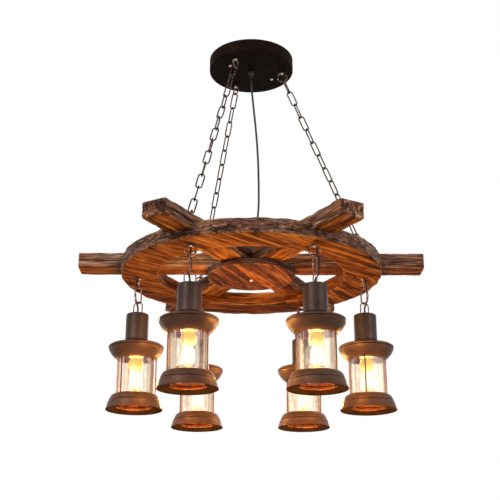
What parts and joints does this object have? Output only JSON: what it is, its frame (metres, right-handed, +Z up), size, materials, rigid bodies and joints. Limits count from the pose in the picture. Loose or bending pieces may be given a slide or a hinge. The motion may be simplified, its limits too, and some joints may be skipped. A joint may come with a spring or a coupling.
{
  "type": "wagon wheel chandelier",
  "caption": "Wooden wagon wheel hung level on chains from a round ceiling canopy, with glass lanterns hanging from hooks under the rim, each on its own long link and lead.",
  "frame": {"origin": "centre of the ceiling face, midway between the two ceiling screws of the bracket", "axes": "+Z up into the ceiling, +X to the right and -Y to the front of the pictured side, along and across one pair of spokes"},
  "size_m": [0.8, 0.7228, 0.8866],
  "materials": {
    "aged_wood": "rough",
    "bronze_sheet": "matt",
    "bronze_wire": "satin",
    "bright_screws": "satin",
    "plated_steel": "satin",
    "clear_glass": "polished",
    "lamp": "gloss",
    "cord_jacket": "matt",
    "moulding": "matt"
  },
  "bodies": {
    "ceiling_mount": {"ceiling_bracket": "plated_steel", "canopy_shell": "bronze_sheet", "canopy_screws": "bronze_wire", "canopy_loops": "bronze_wire", "canopy_loop_screws": "bright_screws", "canopy_loop_nuts": "plated_steel", "cord_grip": "moulding", "terminal_block": "moulding", "supply_cord": "cord_jacket"},
    "wheel": {"rim_felloes": "aged_wood", "hub_disc": "aged_wood", "spokes": "aged_wood", "wheel_loops": "bronze_wire", "wheel_loop_screws": "bright_screws", "hub_bolt": "plated_steel", "junction_box": "bronze_sheet", "junction_lid": "bronze_sheet", "connector_block": "moulding", "spoke_leads": "cord_jacket", "lamp_leads": "cord_jacket"},
    "chain_right": {"chain_right": "bronze_wire"},
    "chain_rear_left": {"chain_rear_left": "bronze_wire"},
    "chain_front_left": {"chain_front_left": "bronze_wire"},
    "link_right": {"hanger_link_right": "bronze_wire"},
    "link_rear_right": {"hanger_link_rear_right": "bronze_wire"},
    "link_rear_left": {"hanger_link_rear_left": "bronze_wire"},
    "link_left": {"hanger_link_left": "bronze_wire"},
    "link_front_left": {"hanger_link_front_left": "bronze_wire"},
    "link_front_right": {"hanger_link_front_right": "bronze_wire"},
    "lantern_right": {"lantern_neck_right": "bronze_sheet", "lantern_cap_right": "bronze_sheet", "lantern_glass_right": "clear_glass", "lantern_base_right": "bronze_sheet", "lantern_lamp_right": "lamp"},
    "lantern_rear_right": {"lantern_neck_rear_right": "bronze_sheet", "lantern_cap_rear_right": "bronze_sheet", "lantern_glass_rear_right": "clear_glass", "lantern_base_rear_right": "bronze_sheet", "lantern_lamp_rear_right": "lamp"},
    "lantern_rear_left": {"lantern_neck_rear_left": "bronze_sheet", "lantern_cap_rear_left": "bronze_sheet", "lantern_glass_rear_left": "clear_glass", "lantern_base_rear_left": "bronze_sheet", "lantern_lamp_rear_left": "lamp"},
    "lantern_left": {"lantern_neck_left": "bronze_sheet", "lantern_cap_left": "bronze_sheet", "lantern_glass_left": "clear_glass", "lantern_base_left": "bronze_sheet", "lantern_lamp_left": "lamp"},
    "lantern_front_left": {"lantern_neck_front_left": "bronze_sheet", "lantern_cap_front_left": "bronze_sheet", "lantern_glass_front_left": "clear_glass", "lantern_base_front_left": "bronze_sheet", "lantern_lamp_front_left": "lamp"},
    "lantern_front_right": {"lantern_neck_front_right": "bronze_sheet", "lantern_cap_front_right": "bronze_sheet", "lantern_glass_front_right": "clear_glass", "lantern_base_front_right": "bronze_sheet", "lantern_lamp_front_right": "lamp"}
  },
  "joints": [
    {"name": "wheel_sway", "type": "hinge", "parent": "ceiling_mount", "child": "wheel", "pos_m": [0, 0, 0.15153], "axis": [0, 1, 0], "range_deg": [-4, 4], "deforming": ["supply_cord"]},
    {"name": "chain_right_swing", "type": "hinge", "parent": "ceiling_mount", "child": "chain_right", "pos_m": [0.08175, 0, -0.05629], "axis": [0, 1, 0], "range_deg": [-6, 6]},
    {"name": "chain_rear_left_swing", "type": "hinge", "parent": "ceiling_mount", "child": "chain_rear_left", "pos_m": [-0.04087, 0.07079, -0.05629], "axis": [0, 1, 0], "range_deg": [-6, 6]},
    {"name": "chain_front_left_swing", "type": "hinge", "parent": "ceiling_mount", "child": "chain_front_left", "pos_m": [-0.04087, -0.07079, -0.05629], "axis": [0, 1, 0], "range_deg": [-6, 6]},
    {"name": "link_right_swing", "type": "hinge", "parent": "wheel", "child": "link_right", "pos_m": [0.261, 0, -0.60261], "axis": [0, -1, 0], "range_deg": [-20, 20], "deforming": ["lamp_leads"]},
    {"name": "lantern_right_swing", "type": "hinge", "parent": "link_right", "child": "lantern_right", "pos_m": [0.261, 0, -0.63961], "axis": [0.9659, -0.2588, 0], "range_deg": [-20, 20], "deforming": ["lamp_leads"]},
    {"name": "link_rear_right_swing", "type": "hinge", "parent": "wheel", "child": "link_rear_right", "pos_m": [0.1305, 0.22603, -0.60261], "axis": [1, 0, 0], "range_deg": [-20, 20], "deforming": ["lamp_leads"]},
    {"name": "lantern_rear_right_swing", "type": "hinge", "parent": "link_rear_right", "child": "lantern_rear_right", "pos_m": [0.1305, 0.22603, -0.63961], "axis": [0, -1, 0], "range_deg": [-20, 20], "deforming": ["lamp_leads"]},
    {"name": "link_rear_left_swing", "type": "hinge", "parent": "wheel", "child": "link_rear_left", "pos_m": [-0.1305, 0.22603, -0.60261], "axis": [1, 0, 0], "range_deg": [-20, 20], "deforming": ["lamp_leads"]},
    {"name": "lantern_rear_left_swing", "type": "hinge", "parent": "link_rear_left", "child": "lantern_rear_left", "pos_m": [-0.1305, 0.22603, -0.63961], "axis": [0, -1, 0], "range_deg": [-20, 20], "deforming": ["lamp_leads"]},
    {"name": "link_left_swing", "type": "hinge", "parent": "wheel", "child": "link_left", "pos_m": [-0.261, 0, -0.60261], "axis": [0, -1, 0], "range_deg": [-20, 20], "deforming": ["lamp_leads"]},
    {"name": "lantern_left_swing", "type": "hinge", "parent": "link_left", "child": "lantern_left", "pos_m": [-0.261, 0, -0.63961], "axis": [0.9272, 0.3746, 0], "range_deg": [-20, 20], "deforming": ["lamp_leads"]},
    {"name": "link_front_left_swing", "type": "hinge", "parent": "wheel", "child": "link_front_left", "pos_m": [-0.1305, -0.22603, -0.60261], "axis": [1, 0, 0], "range_deg": [-20, 20], "deforming": ["lamp_leads"]},
    {"name": "lantern_front_left_swing", "type": "hinge", "parent": "link_front_left", "child": "lantern_front_left", "pos_m": [-0.1305, -0.22603, -0.63961], "axis": [-0.342, -0.9397, 0], "range_deg": [-20, 20], "deforming": ["lamp_leads"]},
    {"name": "link_front_right_swing", "type": "hinge", "parent": "wheel", "child": "link_front_right", "pos_m": [0.1305, -0.22603, -0.60261], "axis": [1, 0, 0], "range_deg": [-20, 20], "deforming": ["lamp_leads"]},
    {"name": "lantern_front_right_swing", "type": "hinge", "parent": "link_front_right", "child": "lantern_front_right", "pos_m": [0.1305, -0.22603, -0.63961], "axis": [-0.6293, -0.7771, 0], "range_deg": [-20, 20], "deforming": ["lamp_leads"]}
  ],
  "couplings": [
    {"joint": "chain_right_swing", "follows": "wheel_sway", "ratio": 1.4223},
    {"joint": "chain_rear_left_swing", "follows": "wheel_sway", "ratio": 1.4223},
    {"joint": "chain_front_left_swing", "follows": "wheel_sway", "ratio": 1.4223}
  ]
}
